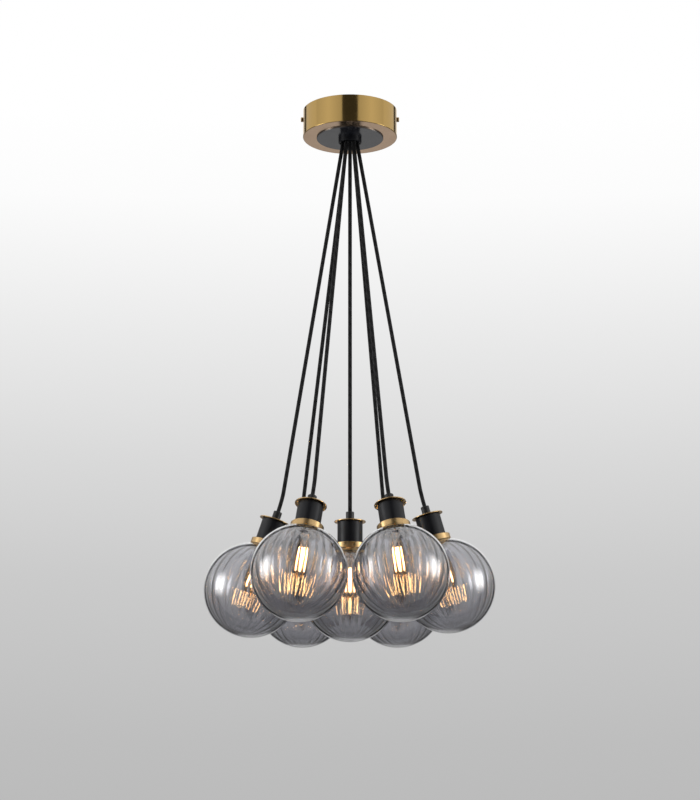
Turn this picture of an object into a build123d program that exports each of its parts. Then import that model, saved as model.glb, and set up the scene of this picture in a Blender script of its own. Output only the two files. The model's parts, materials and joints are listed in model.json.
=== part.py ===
from build123d import *
from math import atan, cos, degrees, pi, radians, sin, sqrt, tan
import os

# Cluster pendant: seven glass globes on black textile cords under one round brass canopy.
# Millimetres. The origin is the middle of the ceiling plane, +Z is up and -Y is the front.
# Each lamp is drawn once, upright, round its globe's centre, and is then set in its seven places.
# Its levels follow from the globe's surface upwards: collar, cup, disc, grip, and down again from the
# socket's mouth to the bulb.

# ---------------------------------------------------------------- canopy
canopy_radius = 77.7
canopy_height = 46.0
canopy_wall = 1.2
canopy_floor = 1.5
canopy_edge_round = 1.0

disc_radius = 55.0
disc_thickness = 2.0
disc_edge_round = 0.6

boss_radius = 19.0
boss_drop = 8.0  # below the disc
boss_edge_chamfer = 1.2
boss_stem_radius = 17.0
stem_clearance = 0.3  # round the stem, in the disc and in the drum's floor
stem_above_nut = 2.5
nut_radius = 24.0
nut_thickness = 6.0
nut_notch_count = 6
nut_notch_width = 4.0
nut_notch_depth = 2.0

# ---------------------------------------------------------------- ceiling strap
strap_width = 20.0
strap_thickness = 2.0
strap_bend = 1.2  # outside radius of the strap's two bends
strap_shell_clearance = 0.5
tab_drop = 22.0
slot_centre = 57.0  # from the middle of the strap
slot_length = 12.0
slot_width = 5.0
supply_hole_radius = 6.0
supply_hole_x = -18.0
earth_screw_x = -34.0

# ---------------------------------------------------------------- side screws
side_screw_drop = 14.0  # screw axis below the ceiling
side_screw_radius = 2.0
side_screw_length = 9.0
side_head_radius = 4.0
side_head_height = 3.6
side_head_round = 1.2
side_slot_width = 1.0
side_slot_depth = 1.2
side_hole_clearance = 0.3  # radial, in the drum
screw_play = 0.1  # radial, between a screw and the hole that it turns in

# ---------------------------------------------------------------- terminal block
block_length = 32.0
block_width = 16.0
block_height = 13.0
block_x = 38.0
block_edge_chamfer = 1.0
lead_pitch = 4.0
lead_entry_depth = 3.0
lead_radius = 1.3
lead_clearance = 0.2
small_screw_radius = 1.5
small_head_radius = 3.0
small_head_height = 2.0
earth_screw_radius = 2.0
earth_head_radius = 4.0
earth_head_height = 2.6

# ---------------------------------------------------------------- cords
cord_radius = 3.15
cord_exit_radius = 11.5  # of the ring of six holes in the boss
hole_clearance = 0.35
mouth_radius = 5.25  # of the bell mouth that lets a cord lean outwards
mouth_height = 3.2
pivot_depth = 1.2  # where a cord starts to lean, above the boss's face
tail_gap = 0.3  # between a hanging cord's round end and the tail above it
bend_above_grip = 20.0
cord_bore_depth = 8.0
retainer_radius = 5.2
retainer_height = 5.0
retainer_screw_radius = 0.8
tail_above_retainer = 3.0
tail_rise = 8.0  # of a conductor over its sheath's end, before it turns to the terminals
tail_stagger = 0.35  # drop of that turn for each millimetre nearer to the terminals
tail_run_in = 8.0  # straight run into a terminal
tail_order = ("front_left", "front_right", "left", "centre", "right", "back_right", "back_left")

# ---------------------------------------------------------------- the cluster
globe_radius = 75.0
ring_radius = 154.9  # of the circle through the six outer globes' centres
ring_drop = 798.1  # from the ceiling to those centres
centre_drop = 808.9
lamp_lean = 17.0  # of an outer lamp's axis from the vertical
lamp_leans = {"left": 18.3, "right": 15.8, "front_right": 15.5}  # lamps that lean more or less
lean_sides = {"back_left": 90.0}  # a lamp that leans from another side than its own
outer_lamps = {  # azimuth, counted from +X towards +Y
    "right": 0,
    "back_right": 60,
    "back_left": 120,
    "left": 180,
    "front_left": 240,
    "front_right": 300,
}
cord_spare = {"left": 4.0, "right": -3.0}  # cords cut a little longer or shorter than the rest

# ---------------------------------------------------------------- globe
wall_at_rib = 7.0
flute_count = 26
flute_depth = 1.2
flute_width = 16.0  # at the globe's widest circle
flute_end_latitude = 70.0
flute_overcut = 0.2
neck_radius = 21.3
neck_bore_radius = 18.5
neck_height = 6.6  # above the circle where it leaves the ball
neck_outer_fillet = 0.8
neck_inner_fillet = 3.0
neck_rim_round = 0.8
thread_round = 0.7
thread_drops = (4.2, 1.6)  # of the thread's crests below the neck's rim

# ---------------------------------------------------------------- collar, cup and disc over a globe
collar_radius = 26.0
collar_height = 9.3
collar_roof = 1.4
collar_edge_chamfer = 0.5
collar_lip_wall = 1.2
collar_lip_height = 1.4
globe_gap = 0.32  # between the collar's lip and the glass
thread_clearance = 0.4
collar_ridge_height = 0.7
spigot_height = 4.0
spigot_wall = 1.5
cup_radius = 20.0
cup_height = 35.2
cup_wall = 1.5
cup_edge_round = 0.8
spigot_play = 0.1
top_disc_radius = 25.0
top_disc_thickness = 1.5
top_disc_round = 0.4

# ---------------------------------------------------------------- lampholder
grip_radius = 7.15
grip_height = 14.9
grip_chamfer = 0.8
grip_flat_count = 2
grip_flat_depth = 0.6
shank_radius = 5.0
shank_length = 10.0
shank_clearance = 0.15
socket_radius = 13.5
socket_top_radius = 11.0
socket_step_height = 15.0
socket_length = 48.0
socket_bore_radius = 7.4
socket_bore_depth = 23.0
socket_edge_round = 1.0
socket_clearance = 0.4

# ---------------------------------------------------------------- bulb
cap_radius = 6.6
cap_height = 20.0  # in the socket
cap_thread_round = 0.45
cap_thread_pitch = 2.8
cap_thread_count = 6
cap_contact_radius = 2.4
cap_contact_height = 2.4
cap_skirt_radius = 8.4
cap_skirt_height = 1.2
cement_gap = 0.05  # between the cap and the glass that is cemented into it
envelope_neck_radius = 8.2
envelope_neck_pull = 13.0  # how far the outline keeps its direction at each end of its two curves
envelope_shoulder_pull = 22.0
envelope_belly_pull = 15.0
envelope_radius = 17.5
envelope_widest_below = 44.0  # this and the next four are below the socket's mouth
bulb_length = 76.2
stem_end = 20.0
filament_start = 24.0
filament_end = 62.0
envelope_nose_radius = 1.8
envelope_nose_height = 1.0
envelope_nose_flare = 5.0
envelope_nose_pull = 9.0
envelope_nose_fullness = 0.6
envelope_wall = 0.8
stem_radius = 2.4
filament_count = 4
filament_radius = 1.0
filament_circle = 5.5
wire_radius = 0.4


# ---------------------------------------------------------------- levels that follow from the sizes
drum_face = -canopy_height
disc_face = drum_face - disc_thickness
boss_face = disc_face - boss_drop
drum_floor_top = drum_face + canopy_floor
nut_top = drum_floor_top + nut_thickness
stem_top = nut_top + stem_above_nut
shell_inner_radius = canopy_radius - canopy_wall
tab_face = sqrt((shell_inner_radius - strap_shell_clearance) ** 2 - (strap_width / 2) ** 2)
cord_hole_radius = cord_radius + hole_clearance
pivot_level = boss_face + pivot_depth
tail_start = pivot_level + cord_radius + tail_gap
retainer_top = stem_top + retainer_height
tail_top = retainer_top + tail_above_retainer

collar_lip_radius = collar_radius - collar_lip_wall
collar_bottom = sqrt(globe_radius**2 - collar_lip_radius**2) + globe_gap
collar_top = collar_bottom + collar_height
neck_foot = sqrt(globe_radius**2 - neck_radius**2)
neck_top = neck_foot + neck_height
thread_heights = [neck_top - drop for drop in thread_drops]
thread_bore_radius = neck_radius + thread_round + thread_clearance
cup_bottom = collar_top
cup_top = cup_bottom + cup_height
disc_top = cup_top + top_disc_thickness
grip_top = disc_top + grip_height
cord_seat = grip_top - cord_bore_depth
shank_hole_radius = shank_radius + shank_clearance
socket_top = cup_top - cup_wall
socket_step = socket_top - socket_step_height
socket_mouth = socket_top - socket_length
cap_top = socket_mouth + cap_height
cap_bottom = socket_mouth - cap_skirt_height
neck_end = cap_bottom - cement_gap
widest_level = socket_mouth - envelope_widest_below
bulb_tip = socket_mouth - bulb_length
stem_bottom = socket_mouth - stem_end
filament_top = socket_mouth - filament_start
filament_bottom = socket_mouth - filament_end
cavity_radius = globe_radius - wall_at_rib

UP = (Align.CENTER, Align.CENTER, Align.MIN)
DOWN = (Align.CENTER, Align.CENTER, Align.MAX)


def save(part, label):
    """Name a finished piece and write its file."""
    part.label = label
    export_step(part, f"parts/{label}.step")


def keep_right_half(reach):
    """Cut a section down to the side where the radius is positive, ready to be revolved."""
    with Locations((-reach / 2, 0)):
        Rectangle(reach, 4 * reach, mode=Mode.SUBTRACT)


def outward(azimuth, radius, level):
    """A point at that distance from the middle line, on that side, at that height."""
    angle = radians(azimuth)
    return Vector(radius * cos(angle), radius * sin(angle), level)


def tube_radii(points):
    """The largest arc that each corner of a cord's route has room for."""
    corners = []
    for before, corner, after in zip(points, points[1:], points[2:]):
        run_in, run_out = Vector(corner) - Vector(before), Vector(after) - Vector(corner)
        half_turn = radians(run_in.get_angle(run_out) / 2)
        corners.append(0.45 * min(run_in.length, run_out.length) / tan(half_turn))
    return corners


def check_tube(name, part, length, radius):
    """Print a tube's length and how its volume compares with section times length."""
    share = part.volume / (pi * radius**2 * length)
    print(f"{name}: length {length:.1f}, volume over section times length {share:.4f}")


os.makedirs("parts", exist_ok=True)

# ================================================================ canopy pieces

with BuildPart() as ceiling_strap:
    Box(2 * tab_face, strap_width, strap_thickness, align=DOWN)
    with Locations((tab_face, 0, 0)):
        Box(strap_thickness, strap_width, tab_drop, align=(Align.MAX, Align.CENTER, Align.MAX))
    with Locations((-tab_face, 0, 0)):
        Box(strap_thickness, strap_width, tab_drop, align=(Align.MIN, Align.CENTER, Align.MAX))
    outer_bends = ceiling_strap.edges().filter_by(Axis.Y).group_by(Axis.Z)[-1]
    fillet(outer_bends, strap_bend)
    with BuildSketch():
        with Locations((slot_centre, 0), (-slot_centre, 0)):
            SlotOverall(slot_length, slot_width)
        with Locations((supply_hole_x, 0)):
            Circle(supply_hole_radius)
        with Locations((earth_screw_x, 0)):
            Circle(earth_screw_radius + screw_play)
        with Locations((block_x, 0)):
            Circle(small_screw_radius + screw_play)
    extrude(amount=-strap_thickness, mode=Mode.SUBTRACT)
    with BuildSketch(Plane.YZ):
        with Locations((0, -side_screw_drop)):
            Circle(side_screw_radius + screw_play)
    extrude(amount=tab_face, both=True, mode=Mode.SUBTRACT)
save(ceiling_strap.part, "ceiling_strap")

with BuildPart() as canopy_shell:
    Cylinder(canopy_radius, canopy_height, align=DOWN)
    bottom_edge = canopy_shell.edges().filter_by(GeomType.CIRCLE).sort_by(Axis.Z)[0]
    fillet(bottom_edge, canopy_edge_round)
    Cylinder(shell_inner_radius, canopy_height - canopy_floor, align=DOWN, mode=Mode.SUBTRACT)
    Cylinder(boss_stem_radius + stem_clearance, 2 * canopy_height, mode=Mode.SUBTRACT)
    with BuildSketch(Plane.YZ):
        with Locations((0, -side_screw_drop)):
            Circle(side_screw_radius + side_hole_clearance)
    extrude(amount=canopy_radius, both=True, mode=Mode.SUBTRACT)
save(canopy_shell.part, "canopy_shell")

with BuildPart() as canopy_disc:
    with BuildSketch(Plane.XY.offset(drum_face)):
        Circle(disc_radius)
        Circle(boss_stem_radius + stem_clearance, mode=Mode.SUBTRACT)
    extrude(amount=-disc_thickness)
    rim = canopy_disc.edges().filter_by(GeomType.CIRCLE).group_by(Axis.Z)[0].sort_by(SortBy.RADIUS)[-1]
    fillet(rim, disc_edge_round)
save(canopy_disc.part, "canopy_disc")

with BuildPart() as cable_boss:
    with BuildSketch(Plane.XY.offset(disc_face)):
        Circle(boss_radius)
    extrude(amount=-boss_drop)
    lower_rim = cable_boss.edges().filter_by(GeomType.CIRCLE).sort_by(Axis.Z)[0]
    chamfer(lower_rim, boss_edge_chamfer)
    with BuildSketch(Plane.XY.offset(disc_face)):
        Circle(boss_stem_radius)
    extrude(amount=stem_top - disc_face)
    mouth_angle = 2 * degrees(atan((mouth_radius - cord_hole_radius) / mouth_height))
    with Locations(Plane(origin=(0, 0, boss_face), z_dir=(0, 0, -1))):
        with PolarLocations(cord_exit_radius, len(outer_lamps)):
            CounterSinkHole(cord_hole_radius, mouth_radius, counter_sink_angle=mouth_angle)
        Hole(cord_hole_radius)
save(cable_boss.part, "cable_boss")

with BuildPart() as boss_nut:
    with BuildSketch(Plane.XY.offset(drum_floor_top)):
        Circle(nut_radius)
        with PolarLocations(nut_radius, nut_notch_count):
            Rectangle(2 * nut_notch_depth, nut_notch_width, mode=Mode.SUBTRACT)
        Circle(boss_stem_radius + screw_play, mode=Mode.SUBTRACT)
    extrude(amount=nut_thickness)
save(boss_nut.part, "boss_nut")

with BuildPart() as cord_retainers:
    with BuildSketch(Plane.XY.offset(stem_top)) as collars:
        with Locations((0, 0)):
            Circle(retainer_radius)
        with PolarLocations(cord_exit_radius, len(outer_lamps)):
            Circle(retainer_radius)
        with Locations((0, 0)):
            Circle(cord_radius + screw_play, mode=Mode.SUBTRACT)
        with PolarLocations(cord_exit_radius, len(outer_lamps)):
            Circle(cord_radius + screw_play, mode=Mode.SUBTRACT)
    extrude(amount=retainer_height)
    for azimuth in outer_lamps.values():
        screw_face = outward(azimuth, cord_exit_radius + retainer_radius, stem_top + retainer_height / 2)
        with Locations(Plane(origin=screw_face, z_dir=outward(azimuth, 1, 0))):
            Hole(retainer_screw_radius, depth=retainer_radius)
save(cord_retainers.part, "cord_retainers")

block_face = block_x - block_width / 2
lead_level = -strap_thickness - block_height / 2
with BuildPart() as terminal_block:
    with Locations((block_x, 0, -strap_thickness)):
        Box(block_width, block_length, block_height, align=DOWN)
    chamfer(terminal_block.edges().filter_by(Axis.Y).group_by(Axis.Z)[0], block_edge_chamfer)
    with Locations(Plane(origin=(block_face, 0, lead_level), x_dir=(0, 1, 0), z_dir=(-1, 0, 0))):
        with GridLocations(lead_pitch, 0, len(tail_order), 1):
            Hole(lead_radius + lead_clearance, depth=lead_entry_depth)
    with Locations((block_x, 0, -strap_thickness - block_height)):
        Cylinder(small_screw_radius + screw_play, 4 * block_height, mode=Mode.SUBTRACT)
save(terminal_block.part, "terminal_block")

with BuildPart() as strap_screws:
    with Locations((block_x, 0, -strap_thickness - block_height)):
        Cylinder(small_head_radius, small_head_height, align=DOWN)
        Cylinder(small_screw_radius, block_height + strap_thickness, align=UP)
    with Locations((earth_screw_x, 0, -strap_thickness)):
        Cylinder(earth_head_radius, earth_head_height, align=DOWN)
        Cylinder(earth_screw_radius, strap_thickness, align=UP)
save(strap_screws.part, "strap_screws")

for side, sign in (("left", -1), ("right", 1)):
    head_plane = Plane(origin=(sign * (canopy_radius + screw_play), 0, -side_screw_drop), z_dir=(sign, 0, 0))
    with BuildPart(head_plane) as side_screw:
        Cylinder(side_head_radius, side_head_height, align=UP)
        outer_rim = side_screw.edges().filter_by(GeomType.CIRCLE).sort_by(Axis.X)
        fillet(outer_rim[-1] if sign > 0 else outer_rim[0], side_head_round)
        with Locations((0, 0, side_head_height)):
            Box(2 * side_head_radius, side_slot_width, 2 * side_slot_depth, mode=Mode.SUBTRACT)
        Cylinder(side_screw_radius, side_screw_length, align=DOWN)
    save(side_screw.part, f"side_screw_{side}")

# ================================================================ one lamp, upright, globe's centre at zero

flute_bottom_radius = cavity_radius + flute_depth
flute_curve = flute_width**2 / (8 * flute_depth)
flute_tube_radius = 1 / (1 / flute_curve + 1 / cavity_radius)
flute_shift = flute_depth / (1 - cos(radians(flute_end_latitude)))
flute_path_radius = flute_bottom_radius - flute_shift - flute_tube_radius

with BuildPart() as flute:
    with Locations((flute_shift, 0, 0)):
        Torus(flute_path_radius, flute_tube_radius, rotation=(90, 0, 0))
    Sphere(cavity_radius - flute_overcut, mode=Mode.SUBTRACT)

with BuildPart() as globe_blank:
    with BuildSketch(Plane.XZ) as glass_section:
        Circle(globe_radius)
        with Locations((0, neck_top / 2)):
            Rectangle(2 * neck_radius, neck_top)
        Circle(cavity_radius, mode=Mode.SUBTRACT)
        with Locations((0, neck_top / 2)):
            Rectangle(2 * neck_bore_radius, neck_top, mode=Mode.SUBTRACT)
        keep_right_half(2 * globe_radius)
        rim_corners = glass_section.vertices().group_by(Axis.Y)[-1]
        fillet(rim_corners, neck_rim_round)
        fillet(glass_section.vertices().sort_by_distance((neck_radius, neck_foot))[0], neck_outer_fillet)
        bore_foot = sqrt(cavity_radius**2 - neck_bore_radius**2)
        fillet(glass_section.vertices().sort_by_distance((neck_bore_radius, bore_foot))[0], neck_inner_fillet)
        with Locations(*[(neck_radius, height) for height in thread_heights]):
            Circle(thread_round)
    revolve(axis=Axis.Z)
    with PolarLocations(0, flute_count):
        add(flute.part, mode=Mode.SUBTRACT)

with BuildPart() as collar_blank:
    with BuildSketch(Plane.XZ) as collar_section:
        with Locations((0, collar_bottom)):
            Rectangle(2 * collar_radius, collar_height, align=(Align.CENTER, Align.MIN))
        chamfer(collar_section.vertices(), collar_edge_chamfer)
        with Locations((0, collar_top)):
            Rectangle(2 * (cup_radius - cup_wall - spigot_play), spigot_height, align=(Align.CENTER, Align.MIN))
            Rectangle(
                2 * (cup_radius - cup_wall - spigot_play - spigot_wall),
                spigot_height,
                align=(Align.CENTER, Align.MIN),
                mode=Mode.SUBTRACT,
            )
        with Locations((0, collar_bottom)):
            Rectangle(
                2 * thread_bore_radius,
                collar_height - collar_roof,
                align=(Align.CENTER, Align.MIN),
                mode=Mode.SUBTRACT,
            )
            Rectangle(
                2 * collar_lip_radius,
                collar_lip_height,
                align=(Align.CENTER, Align.MIN),
                mode=Mode.SUBTRACT,
            )
        with Locations((0, collar_top)):
            Rectangle(2 * (socket_radius + socket_clearance), 2 * collar_roof, mode=Mode.SUBTRACT)
        ridge_middle = sum(thread_heights) / len(thread_heights)
        with Locations((thread_bore_radius, ridge_middle)):
            Rectangle(2 * thread_round, collar_ridge_height)
        keep_right_half(2 * collar_radius)
    revolve(axis=Axis.Z)

with BuildPart() as cup_blank:
    with Locations((0, 0, cup_bottom)):
        Cylinder(cup_radius, cup_height, align=UP)
    fillet(cup_blank.edges().filter_by(GeomType.CIRCLE).sort_by(Axis.Z)[-1], cup_edge_round)
    with Locations((0, 0, cup_bottom)):
        Cylinder(cup_radius - cup_wall, cup_height - cup_wall, align=UP, mode=Mode.SUBTRACT)
    with Locations((0, 0, cup_top)):
        Cylinder(shank_hole_radius, 4 * cup_wall, mode=Mode.SUBTRACT)

with BuildPart() as top_disc_blank:
    with Locations((0, 0, cup_top)):
        Cylinder(top_disc_radius, top_disc_thickness, align=UP)
    fillet(top_disc_blank.edges().filter_by(GeomType.CIRCLE), top_disc_round)
    with Locations((0, 0, cup_top)):
        Cylinder(shank_hole_radius, 4 * top_disc_thickness, mode=Mode.SUBTRACT)

with BuildPart() as grip_blank:
    with Locations((0, 0, disc_top)):
        Cylinder(grip_radius, grip_height, align=UP)
    chamfer(grip_blank.edges().filter_by(GeomType.CIRCLE).sort_by(Axis.Z)[-1], grip_chamfer)
    with PolarLocations(grip_radius - grip_flat_depth, grip_flat_count):
        with Locations((0, 0, disc_top)):
            Box(
                grip_radius,
                2 * grip_radius,
                grip_height,
                align=(Align.MIN, Align.CENTER, Align.MIN),
                mode=Mode.SUBTRACT,
            )
    with Locations((0, 0, disc_top)):
        Cylinder(shank_radius, shank_length, align=DOWN)
    with Locations((0, 0, cord_seat)):
        Cylinder(cord_radius + screw_play, cord_bore_depth, align=UP, mode=Mode.SUBTRACT)

with BuildPart() as socket_blank:
    with Locations((0, 0, socket_mouth)):
        Cylinder(socket_radius, socket_step - socket_mouth, align=UP)
    with Locations((0, 0, socket_step)):
        Cylinder(socket_top_radius, socket_step_height, align=UP)
    fillet(socket_blank.edges().filter_by(GeomType.CIRCLE).group_by(Axis.Z)[1], socket_edge_round)
    with Locations((0, 0, socket_mouth)):
        Cylinder(socket_bore_radius, socket_bore_depth, align=UP, mode=Mode.SUBTRACT)
    with Locations((0, 0, socket_top)):
        Cylinder(shank_hole_radius, 2 * shank_length, mode=Mode.SUBTRACT)

with BuildPart() as lampholder_blank:
    add(grip_blank.part)
    add(socket_blank.part)

thread_reach = cap_thread_pitch * (cap_thread_count - 1)
first_thread = cap_top - thread_reach - cap_thread_pitch / 2
with BuildPart() as cap_blank:
    with BuildSketch(Plane.XZ):
        with Locations((0, cap_bottom)):
            Rectangle(2 * cap_skirt_radius, cap_skirt_height, align=(Align.CENTER, Align.MIN))
            Rectangle(2 * cap_radius, cap_top - cap_bottom, align=(Align.CENTER, Align.MIN))
        with Locations((0, cap_top)):
            Rectangle(2 * cap_contact_radius, cap_contact_height, align=(Align.CENTER, Align.MIN))
        crests = [first_thread + turn * cap_thread_pitch for turn in range(cap_thread_count)]
        with Locations(*[(cap_radius, height) for height in crests]):
            Circle(cap_thread_round)
        keep_right_half(cap_top)
    revolve(axis=Axis.Z)


def candle_outline(shrink):
    """Half outline of the candle bulb's glass, drawn in by shrink, from its neck to its tip."""
    neck, widest = envelope_neck_radius - shrink, envelope_radius - shrink
    tip, nose = bulb_tip + shrink, envelope_nose_radius - shrink / 2
    nose_top = tip + envelope_nose_height
    with BuildLine(mode=Mode.PRIVATE) as outline:
        Bezier(
            (neck, neck_end),
            (neck, neck_end - envelope_neck_pull),
            (widest, widest_level + envelope_shoulder_pull),
            (widest, widest_level),
        )
        Bezier(
            (widest, widest_level),
            (widest, widest_level - envelope_belly_pull),
            (nose + envelope_nose_flare, nose_top + envelope_nose_pull),
            (nose, nose_top),
        )
        Bezier((nose, nose_top), (nose * envelope_nose_fullness, tip), (0, tip))
        Line((0, tip), (0, neck_end))
        Line((0, neck_end), (neck, neck_end))
    return outline.line


with BuildPart() as envelope_blank:
    with BuildSketch(Plane.XZ):
        make_face(candle_outline(0))
        make_face(candle_outline(envelope_wall), mode=Mode.SUBTRACT)
    revolve(axis=Axis.Z)

with BuildPart() as filament_blank:
    with Locations((0, 0, stem_bottom)):
        Cylinder(stem_radius, neck_end - stem_bottom, align=UP)
    with PolarLocations(filament_circle, filament_count):
        with Locations((0, 0, filament_bottom)):
            Cylinder(filament_radius, filament_top - filament_bottom, align=UP)
    for level in (filament_top, filament_bottom):
        with PolarLocations(0, filament_count):
            with Locations(Location((0, 0, level), (0, 90, 0))):
                Cylinder(wire_radius, filament_circle, align=UP)
    with Locations((0, 0, stem_bottom)):
        Cylinder(wire_radius, stem_bottom - filament_top, align=DOWN)

with BuildPart() as bulb_blank:
    add(cap_blank.part)
    add(envelope_blank.part)
    add(filament_blank.part)

# ================================================================ the seven lamps and their tails

lamp_blanks = {
    "globe": globe_blank,
    "shade_collar": collar_blank,
    "holder_cup": cup_blank,
    "top_disc": top_disc_blank,
    "lampholder": lampholder_blank,
    "bulb": bulb_blank,
}


def lamp_plane(centre, lean, side):
    """A lamp's own plane: its origin is the globe's centre and its Z runs up the lamp's axis."""
    axis = outward(side, -sin(radians(lean)), cos(radians(lean)))
    across = outward(side, cos(radians(lean)), sin(radians(lean)))
    return Plane(origin=centre, x_dir=across, z_dir=axis)


lamps = {"centre": (lamp_plane(Vector(0, 0, -centre_drop), 0, 0), Vector(0, 0, pivot_level))}
for name, azimuth in outer_lamps.items():
    pivot = outward(azimuth, cord_exit_radius, pivot_level)
    lean, side = lamp_leans.get(name, lamp_lean), lean_sides.get(name, azimuth)
    hung = lamp_plane(outward(azimuth, ring_radius, -ring_drop), lean, side)
    fall = (hung.origin + hung.z_dir * (grip_top + bend_above_grip) - pivot).normalized()
    lamps[name] = (lamp_plane(hung.origin + fall * cord_spare.get(name, 0), lean, side), pivot)

for name, (hung, pivot) in lamps.items():
    for piece, blank in lamp_blanks.items():
        with BuildPart(hung) as placed:
            add(blank.part)
        save(placed.part, f"{piece}_{name}")

    bend = hung.origin + hung.z_dir * (grip_top + bend_above_grip)
    seat = hung.origin + hung.z_dir * cord_seat
    with BuildPart() as cord:
        with BuildLine() as route:
            if name == "centre":
                Line(pivot, seat)
            else:
                radii = tube_radii([pivot, bend, seat])
                FilletPolyline(pivot, bend, seat, radius=radii)
                print(f"cord_{name}: arc radius {radii[0]:.0f}")
        start = route.wire() % 0
        with BuildSketch(Plane(origin=pivot, z_dir=start)):
            Circle(cord_radius)
        sweep()
        check_tube(f"cord_{name}", cord.part, route.wire().length, cord_radius)
        with Locations(Plane(origin=pivot, z_dir=-start)):
            Sphere(cord_radius, arc_size1=0, align=None)
    save(cord.part, f"cord_{name}")

# Inside the canopy each cord goes on upwards as a tail. Its sheath ends over the retainer, and its
# conductors run to the terminal block, side by side in the order of the holes.
middle_terminal = (len(tail_order) - 1) / 2
with BuildPart() as wiring_tails:
    for order, name in enumerate(tail_order):
        radius = cord_exit_radius if name in outer_lamps else 0
        foot = outward(outer_lamps.get(name, 0), radius, tail_start)
        sheath_end = Vector(foot.X, foot.Y, tail_top)
        turn = Vector(foot.X, foot.Y, tail_top + tail_rise - tail_stagger * foot.X)
        entry_y = (order - middle_terminal) * lead_pitch
        aim = Vector(block_face - tail_run_in, entry_y, lead_level)
        entry = Vector(block_face + lead_entry_depth, entry_y, lead_level)
        with Locations(foot):
            Cylinder(cord_radius, tail_top - tail_start, align=UP)
        with BuildLine():
            FilletPolyline(sheath_end, turn, aim, entry, radius=tube_radii([sheath_end, turn, aim, entry]))
        with BuildSketch(Plane(origin=sheath_end, z_dir=(0, 0, 1))):
            Circle(lead_radius)
        sweep()
save(wiring_tails.part, "wiring_tails")
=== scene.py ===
import json
from math import atan2, cos, pi, radians, sin, sqrt

import bpy
import numpy as np
from mathutils import Matrix, Vector


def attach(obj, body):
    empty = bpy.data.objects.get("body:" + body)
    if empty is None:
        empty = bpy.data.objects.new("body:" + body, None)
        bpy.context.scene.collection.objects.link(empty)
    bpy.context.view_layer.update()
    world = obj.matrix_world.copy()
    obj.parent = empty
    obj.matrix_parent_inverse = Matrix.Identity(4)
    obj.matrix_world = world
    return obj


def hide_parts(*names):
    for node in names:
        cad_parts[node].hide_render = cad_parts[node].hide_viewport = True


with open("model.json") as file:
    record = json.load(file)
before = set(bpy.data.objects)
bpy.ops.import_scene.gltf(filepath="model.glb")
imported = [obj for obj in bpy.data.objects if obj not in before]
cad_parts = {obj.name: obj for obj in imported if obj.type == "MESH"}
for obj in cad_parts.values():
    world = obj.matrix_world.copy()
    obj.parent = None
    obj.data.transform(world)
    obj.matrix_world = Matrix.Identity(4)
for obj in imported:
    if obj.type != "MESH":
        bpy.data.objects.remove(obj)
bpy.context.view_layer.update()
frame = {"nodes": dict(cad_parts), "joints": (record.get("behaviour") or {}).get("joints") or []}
nodes = frame["nodes"]


# ---------------------------------------------------------------- Camera
# It stands 3.7 m in front of the pendant, below its middle, and looks up at it with a long lens.
camera_distance, camera_level, camera_tilt = 3.674, -1.429, 14.29
camera = bpy.data.objects.new("camera", bpy.data.cameras.new("camera"))
camera.location = (0.0, -camera_distance, camera_level)
camera.rotation_euler = (radians(90 + camera_tilt), 0, 0)
camera.data.lens = 106.2
camera.data.clip_end = 60
bpy.context.scene.collection.objects.link(camera)
bpy.context.scene.camera = camera


# ---------------------------------------------------------------- Cords
# Seven round mains cords in a fine black textile braid. Each leaves the black boss through its own
# hole and runs straight down to the grip of its lampholder, where it bends a little to enter it.
cord_radius = 0.00315
cord_sides = 20
braid_carriers = 12  # crossings counted round the cord
braid_pitch = 0.0021  # along the cord from one crossing to the next
conductor_twist = 0.017  # along the cord for one turn of the two conductors under the braid
conductor_relief = 1.5  # against the relief of one yarn
# painted shade: the braid's colour darkens between its yarns and along the conductors' spiral
painted_yarn_shade = 0.6  # how much darker the braid gets between its yarns
cord_routes = {  # name: points in metres, from the boss down, and length
    "centre": (
        [(0, 0, -0.0548), (0, 0, -0.094), (0, 0, -0.6849)],
        0.6301,
    ),
    "right": (
        [
            (0.0115, 0, -0.0548),
            (0.10829, 0, -0.62128),
            (0.11301, 0, -0.64888),
            (0.12063, 0, -0.67583),
        ],
        0.6307,
    ),
    "left": (
        [
            (-0.0115, 0, -0.0548),
            (-0.10339, 0, -0.63009),
            (-0.1078, 0, -0.65774),
            (-0.1166, 0, -0.68432),
        ],
        0.6385,
    ),
    "back_right": (
        [
            (0.00575, 0.00996, -0.0548),
            (0.05294, 0.0917, -0.62512),
            (0.05523, 0.09566, -0.65274),
            (0.05932, 0.10275, -0.67952),
        ],
        0.6340,
    ),
    "back_left": (
        [
            (-0.00575, 0.00996, -0.0548),
            (-0.07415, 0.08603, -0.62518),
            (-0.07745, 0.08971, -0.65274),
            (-0.07745, 0.09789, -0.67952),
        ],
        0.6354,
    ),
    "front_left": (
        [
            (-0.00575, -0.00996, -0.0548),
            (-0.05294, -0.0917, -0.62512),
            (-0.05523, -0.09566, -0.65274),
            (-0.05932, -0.10275, -0.67952),
        ],
        0.6340,
    ),
    "front_right": (
        [
            (0.00575, -0.00996, -0.0548),
            (0.05476, -0.09485, -0.62403),
            (0.05714, -0.09897, -0.65163),
            (0.06088, -0.10545, -0.67861),
        ],
        0.6336,
    ),
}


def new_material(name, color, roughness, metallic=0.0):
    """A material, with its node tree and its Principled shader."""
    material = bpy.data.materials.new(name)
    material.use_nodes = True
    tree = material.node_tree
    shader = tree.nodes["Principled BSDF"]
    shader.inputs["Base Color"].default_value = (*color, 1)
    shader.inputs["Roughness"].default_value = roughness
    shader.inputs["Metallic"].default_value = metallic
    return material, tree, shader


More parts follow.
